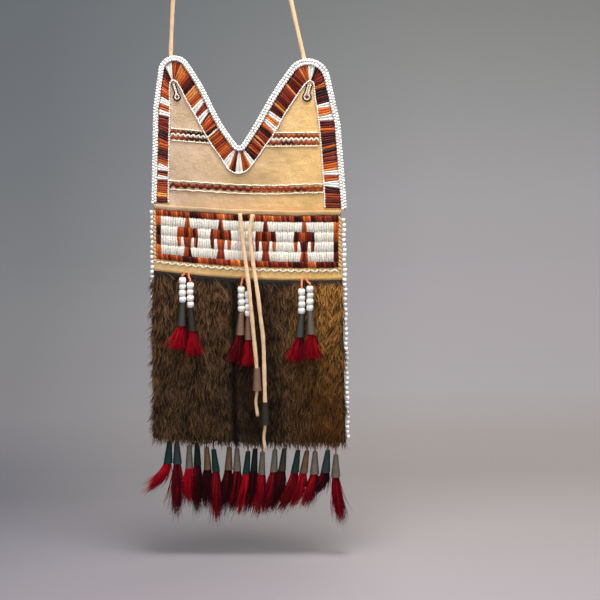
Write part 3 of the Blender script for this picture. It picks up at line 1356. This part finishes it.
# %% [markdown]
# A tuft of hair is a bundle of strands that leave the cone together and spread. The pelt's blades would
# be too stiff for it, so each strand is a row of points. A geometry tree turns the rows into curves and
# gives them a thin three-sided body.

# %% The tree that gives strands a body
weaving = GeometryTree("strands_with_body", Radius="Float")
lines = weaving.node("GeometryNodeMeshToCurve", None, {"Mesh": weaving.given["Geometry"]})
radius = weaving.named("slimness") * weaving.given["Radius"]
three_sided = {"Resolution": 3, "Radius": 1.0}
section = weaving.node("GeometryNodeCurvePrimitiveCircle", {"mode": "RADIUS"}, three_sided)
body_inputs = {"Curve": lines, "Profile Curve": section, "Scale": radius}
weaving.close(weaving.node("GeometryNodeCurveToMesh", None, body_inputs))

# %% Tufts
HAIR_DYES = ["#c8081f", "#b0041b", "#8c0518", "#5e0714", "#3a0710", "#22060b"]
SLIMNESS = [1, 1, 0.95, 0.85, 0.7, 0.5, 0.2]
HAIR_RADIUS = 0.32
IN_CONE = 5


def tuft(name, mouth, tip, spread, strands, mood, seed, shortest=0.55, pointed=0.0):
    """Strands from a cone's mouth to round a tip. mood is the share of bright strands, and in a pointed
    tuft the outer strands are shorter."""
    chance = np.random.default_rng(seed)
    mouth, tip = np.array(mouth, float), np.array(tip, float)
    joints = len(SLIMNESS)
    t = np.linspace(0, 1, joints)[None, :, None]
    angle = chance.uniform(0, 2 * math.pi, strands)
    far = np.sqrt(chance.uniform(0, 1, strands))
    disc = np.stack([np.cos(angle) * far, 0.8 * np.sin(angle) * far, np.zeros(strands)], -1)
    start = mouth + disc * 2.3 + (0, 0, IN_CONE)
    wild = np.where(chance.uniform(0, 1, strands) < 0.12 + 0.12 * pointed, 2.1, 1.0)[:, None]
    short = mix(chance.uniform(0, 1, strands), far**2, pointed)[:, None]
    reach = mix(1.04, shortest, short) * np.where(wild > 1, 1 + 0.16 * pointed, 1)
    flung = np.where(wild > 1, wild + 2 * pointed, 1)
    stray = chance.normal(0, 0.9, (strands, 3)) * wild
    fall = (tip - mouth) * reach + disc * spread * flung * (1, 0.55, 0) + stray
    leave = np.array([0.0, 0.0, -1.0]) * np.linalg.norm(tip - mouth) * 0.42
    bulge = leave * 0.9 + disc * (0.8 + 4.5 * pointed)
    paths = start[:, None] + 2 * t * (1 - t) * bulge[:, None] + t**2 * fall[:, None]
    paths[:, :, 2] -= IN_CONE * t[:, :, 0]
    sway = chance.normal(0, 0.55, (strands, 1, 3)) * np.sin(t * 5 + chance.uniform(0, 6, (strands, 1, 1)))
    paths += sway * t
    links = [(k * joints + n, k * joints + n + 1) for k in range(strands) for n in range(joints - 1)]
    piece = new_piece(name, paths.reshape(-1, 3), [], hair, links)
    side = 0.16 * disc[:, 0] + 0.3 * (wild[:, 0] > 1)
    tone = np.clip(0.95 - mood + chance.normal(0, 0.17, strands) + side, 0, 0.999)
    dyes = np.array([paint(HAIR_DYES[int(v * len(HAIR_DYES))]) for v in tone])
    give(piece, dye=np.repeat(dyes, joints, axis=0), slimness=np.tile(SLIMNESS, strands))
    return run_tree(piece, weaving, Finish=hair, Radius=HAIR_RADIUS * MM)


print("dyes of hair:", len(HAIR_DYES))

# %% [markdown]
# Three pairs of tassels hang from the band's lower edge: a thong, four large white beads, a cone and a
# tuft. All could be one piece of the bag, but each swings by itself, so each rides on its own body.

# %% Front tassels
LARGE_PROFILE = [
    (0.14, -0.4), (0.34, -0.44), (0.46, -0.33), (0.5, 0), (0.46, 0.33), (0.34, 0.44), (0.14, 0.4),
]
BEAD_RADIUS, BEAD_PITCH, BEAD_COUNT = 3.35, 5.9, 4
BEAD_SIZE = (2 * BEAD_RADIUS, 2 * BEAD_RADIUS, BEAD_PITCH * 1.1)
HOLE = BAND_BOTTOM + 2.6
FRONT_TASSELS = [
    (-60.2, -62.0, 3.8, -1.0, -4.0, 22.0, "iron", 0.8), (-56.8, -54.6, 8.3, 1.6, 2.6, 23.0, "dark", 0.66),
    (-5.4, -6.6, 8.1, -1.2, -4.6, 24.0, "copper", 0.35), (-2.4, 0.0, 12.4, 0.3, 1.4, 24.5, "copper", 0.72),
    (50.2, 50.0, 8.5, -2.0, -3.4, 23.5, "iron", 0.55), (54.0, 57.8, 5.9, 1.0, 2.2, 23.5, "grey", 0.68),
]
large_bead = lathe_shape("large_bead", LARGE_PROFILE, 14)
for k, (hole, x, drop, lean, sweep, reach, tone, mood) in enumerate(FRONT_TASSELS, 1):
    body = f"front_tassel_{k}"
    start = on_front(hole, HOLE, HIDE + GAP + 0.9)
    depth = on_front(hole, HOLE, HIDE + 8)[1]
    top = start[2] - drop
    end = top - BEAD_COUNT * BEAD_PITCH
    bend = (mix(hole, x, 0.5), mix(start[1], depth, 0.62), mix(start[2], top, 0.45))
    cord = smooth_route([start, bend, (x, depth, top), (x, depth, end - 1)], 30)
    settle(thong_tube(f"front_thong_{k}", cord, 1.9, 1.5, red_thong, 8), "thong", body=body)
    levels = [top - (n + 0.5) * BEAD_PITCH for n in range(BEAD_COUNT)]
    places = [(x + 0.15 * math.sin(n * 2 + k), depth, level) for n, level in enumerate(levels)]
    string_beads(f"front_beads_{k}", places, BEAD_SIZE, f"front_strand_{k}", shape=large_bead, body=body)
    cone_top = end - GAP
    mouth = (x + lean, depth, cone_top - CONE_LENGTH)
    cone = tin_cone(f"front_tin_{k}", (x, depth, cone_top), mouth, tone)
    settle(cone, "tin", f"front_cone_{k}", body=body)
    tip = (mouth[0] + sweep, depth - 0.5, mouth[2] - reach)
    settle(tuft(f"front_hair_{k}", mouth, tip, 6.2, 340, mood, k, 0.82), "tassel_hair", body=body)
bpy.data.objects.remove(large_bead)
print("front tassels:", len(FRONT_TASSELS))

# %% [markdown]
# A row of tassels hangs from the hem, each on a short thong. One tassel could be copied along it, but in
# the picture no two are the same. So each has its own place, thong, lean of the cone, sweep and length of
# the hair, tone of the tin and brightness of the hair. A cone with close neighbours is rolled narrower.

# %% Bottom tassels
FRINGE = [
    (-76.4, 1.4, -1.8, -18.7, 27.7, "teal", 0.9), (-69.5, 1.4, 0.3, -0.6, 52.0, "blue", 0.55),
    (-57.6, 5.3, -0.2, -1.5, 35.0, "grey", 0.85), (-50.2, 1.9, 0.3, -1.0, 47.5, "black", 0.3),
    (-41.0, 6.0, 0.9, -1.3, 38.3, "brown", 0.25), (-34.3, 7.7, 2.2, 0.4, 50.5, "teal", 0.7),
    (-19.2, 5.3, -1.0, -6.4, 41.1, "brown", 0.3), (-11.9, 6.3, 0.0, -6.7, 40.9, "grey", 0.4),
    (-1.3, 8.8, -2.0, -7.1, 40.9, "teal", 0.9), (5.5, 5.9, -1.3, -6.4, 39.9, "black", 0.15),
    (12.5, 9.1, -0.9, -5.7, 41.2, "grey", 0.75), (24.5, 6.3, -1.3, -10.1, 42.9, "grey", 0.6),
    (33.5, 5.3, -2.4, -9.6, 39.9, "dark", 0.3), (46.6, 6.6, -3.2, -14.2, 39.4, "teal", 0.6),
    (55.2, 7.1, -3.4, -11.6, 35.0, "brown", 0.85), (62.9, 7.9, -0.7, -9.5, 34.2, "grey", 0.7),
    (75.1, 6.4, -2.4, -9.7, 22.3, "blue", 0.35), (82.8, 11.0, -0.2, 6.2, 46.2, "grey", 0.7),
]
FRINGE_DEPTH = PANEL_FACE - GAP / 2
NARROW_BASE, WIDE_BASE = 3.5, 4.6
mouths = np.array([x + lean for x, _, lean, *_ in FRINGE])
room = (np.abs(mouths[:, None] - mouths[None]) + np.eye(len(mouths)) * 99).min(1)
bases = np.clip(room / 2 - 0.2, NARROW_BASE, WIDE_BASE)
for k, (x, drop, lean, sweep, reach, tone, mood) in enumerate(FRINGE, 1):
    body, name = f"fringe_{k:02d}", f"{k:02d}"
    hem = -POUCH_DEPTH - sag(x, -POUCH_DEPTH)
    cone_top = hem - drop - 0.9
    mouth = (x + lean, FRINGE_DEPTH, cone_top - CONE_LENGTH)
    cord = np.linspace((x, FRINGE_DEPTH, hem - GAP), (x, FRINGE_DEPTH, cone_top - 2), 6)
    settle(thong_tube(f"fringe_thong_{name}", cord, 1.6, 1.3, red_thong, 8), "thong", body=body)
    base = float(bases[k - 1])
    cone = tin_cone(f"fringe_tin_{name}", (x, FRINGE_DEPTH, cone_top), mouth, tone, 2.2, base)
    settle(cone, "tin", f"fringe_tassel_{name}", body=body)
    tip = (mouth[0] + sweep, FRINGE_DEPTH, mouth[2] - reach)
    strands = tuft(f"fringe_hair_{name}", mouth, tip, 3.0, 320, mood - 0.1, 40 + k, pointed=0.6)
    settle(strands, "tassel_hair", body=body)
for spare in (quill_shape, small_bead):
    bpy.data.objects.remove(spare)
print("bottom tassels:", len(FRINGE))

# %% [markdown]
# The studio is a plain pale floor that curves up into a wall. The bag hangs just over the floor, so its
# shadow is a soft patch below the tassels. The paper's own shades follow its depth and its side, so the
# lamps need not be set for it, and it is palest far aside and in front.

# %% Floor and wall
FLOOR = cad_box[0].z - 0.032
WALL, WALL_TOP, CURVE, HALF, FRONT = 4.2, 5.0, 1.6, 6.0, -6.0
EYE_BACK = 1.7
PAPER = {
    "left": [
        (0, "#7f797f"), (0.04, "#706d74"), (0.07, "#616065"), (0.09, "#656469"), (0.145, "#787679"),
        (0.3, "#868689"), (0.44, "#909194"), (0.7, "#81858a"), (1, "#737a7e"),
    ],
    "right": [
        (0, "#958e91"), (0.05, "#918b8a"), (0.09, "#8a8481"), (0.123, "#908a87"), (0.176, "#9c9798"),
        (0.346, "#aca6a9"), (0.44, "#b7b1b4"), (0.57, "#b2afb1"), (0.82, "#919290"), (1, "#858684"),
    ],
}
turns = np.linspace(0, math.pi / 2, 16)
bend = [(WALL - CURVE + CURVE * math.sin(a), FLOOR + CURVE - CURVE * math.cos(a)) for a in turns]
sweep_profile = [(FRONT, FLOOR), *bend, (WALL, FLOOR + WALL_TOP)]
sweep_mesh = bpy.data.meshes.new("studio_sweep")
sweep_mesh.from_pydata(
    [(x, y, z) for y, z in sweep_profile for x in (-HALF, HALF)], [],
    [(2 * k, 2 * k + 1, 2 * k + 3, 2 * k + 2) for k in range(len(sweep_profile) - 1)],
)
sweep_mesh.shade_smooth()
wall = Finish("studio_paper", roughness=0.95, specular_ior_level=0.1)
depth = wall.axis("Y") + EYE_BACK
height = (wall.axis("Z") - FLOOR) / 2.2
back_share = wall.clamp((depth - 1.5) / 4.5 * 0.7 + height * 0.6)
half_wide = wall.clamp(depth, 0.9, 9.0) * 0.34 + 0.1
rightward = wall.clamp(wall.axis("X") / half_wide * 1.7 + 0.62)
shades = []
for codes in PAPER.values():
    stops = [(place, paint(code)) for place, code in codes]
    shades.append(wall.node("ShaderNodeValToRGB", {"stops": stops}, {"Fac": back_share}))
aside = wall.clamp(wall.axis("X") * wall.axis("X") * 0.12 - 0.19)
before = wall.clamp(wall.axis("Y") * -0.35 - 0.3)
paper = wall.blend(wall.clamp(aside + before), wall.blend(rightward, *shades), paint("#efecee"))
sweep_mesh.materials.append(wall.feed(base_color=paper))
add_object("studio_sweep", sweep_mesh)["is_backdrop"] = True
print("floor", round(FLOOR, 3), "m below the peg")

# %% [markdown]
# The camera looks at the bag from straight in front and a little above, with a long lens. It could be
# set by eye, but one pixel of the picture is 0.95 mm at the bag, and that gives the lens. The bag hangs
# left of the picture's middle, so the camera aims to its right.

# %% Camera
PIXEL = 0.95 * MM
PICTURE = 600
MOUTH_COLUMN, MOUTH_ROW = 249, 209
DISTANCE, ELEVATION = 1.7, math.radians(7)
aim = Vector(((PICTURE / 2 - MOUTH_COLUMN) * PIXEL, 0, (MOUTH_ROW - PICTURE / 2) * PIXEL - HANG_DROP * MM))
camera = bpy.data.cameras.new("front_camera")
camera.sensor_width = 36
camera.lens = camera.sensor_width * DISTANCE / (PICTURE * PIXEL)
viewer = add_object("front_camera", camera)
viewer.location = aim + Vector((0, -DISTANCE * math.cos(ELEVATION), DISTANCE * math.sin(ELEVATION)))
viewer.rotation_euler = (math.pi / 2 - ELEVATION, 0, 0)
scene.camera = viewer
print("lens", round(camera.lens), "mm")

# %% [markdown]
# A large lamp from the front left lights the quills, a weaker one fills the right side, and one overhead
# makes the shadow on the floor. Two more light the back of the bag and the wall.

# %% Light
LAMPS = {
    "key_light": ((-0.6, -1.3, 0.65), 0.9, 13.6, (0, 0, -0.33)),
    "fill_light": ((1.3, -1.5, 0.45), 1.0, 5.2, (0, 0, -0.33)),
    "top_light": ((0.15, -0.3, 0.95), 0.62, 30, (0, 0, -0.4)),
    "rear_light": ((0.4, 1.6, 1.3), 1.0, 6, (0, 0, -0.3)),
    "wall_light": ((0.5, 1.7, 2.6), 2.5, 80, (0.3, 4.2, 0.4)),
}
SKY_LIGHT, SKY_SEEN = (0.11, 0.11, 0.11, 1), (0.33, 0.33, 0.335, 1)
for name, (place, size, watts, target) in LAMPS.items():
    lamp = bpy.data.lights.new(name, "AREA")
    lamp.size, lamp.energy = size, watts
    holder = add_object(name, lamp)
    holder.location = place
    holder.rotation_euler = (Vector(target) - Vector(place)).to_track_quat("-Z", "Y").to_euler()
scene.world = bpy.data.worlds.new("studio")
scene.world.use_nodes = True
sky = Tree(scene.world.node_tree)
seen = sky.node("ShaderNodeLightPath", output="Is Camera Ray")
glow = sky.tree.nodes["Background"]
sky.set(glow.inputs["Color"], sky.blend(seen, SKY_LIGHT, SKY_SEEN))
scene.view_settings.view_transform = "Standard"
print("lamps:", ", ".join(LAMPS))

# %% [markdown]
# Last, the dressed bag's box is written beside the solids' box, and the frame is checked.

# %% Check and finish
dressed_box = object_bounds()
growths = (dressed_box[1] - dressed_box[0]) - (cad_box[1] - cad_box[0])
print("grown by", [round(growth / MM, 1) for growth in growths], "mm")
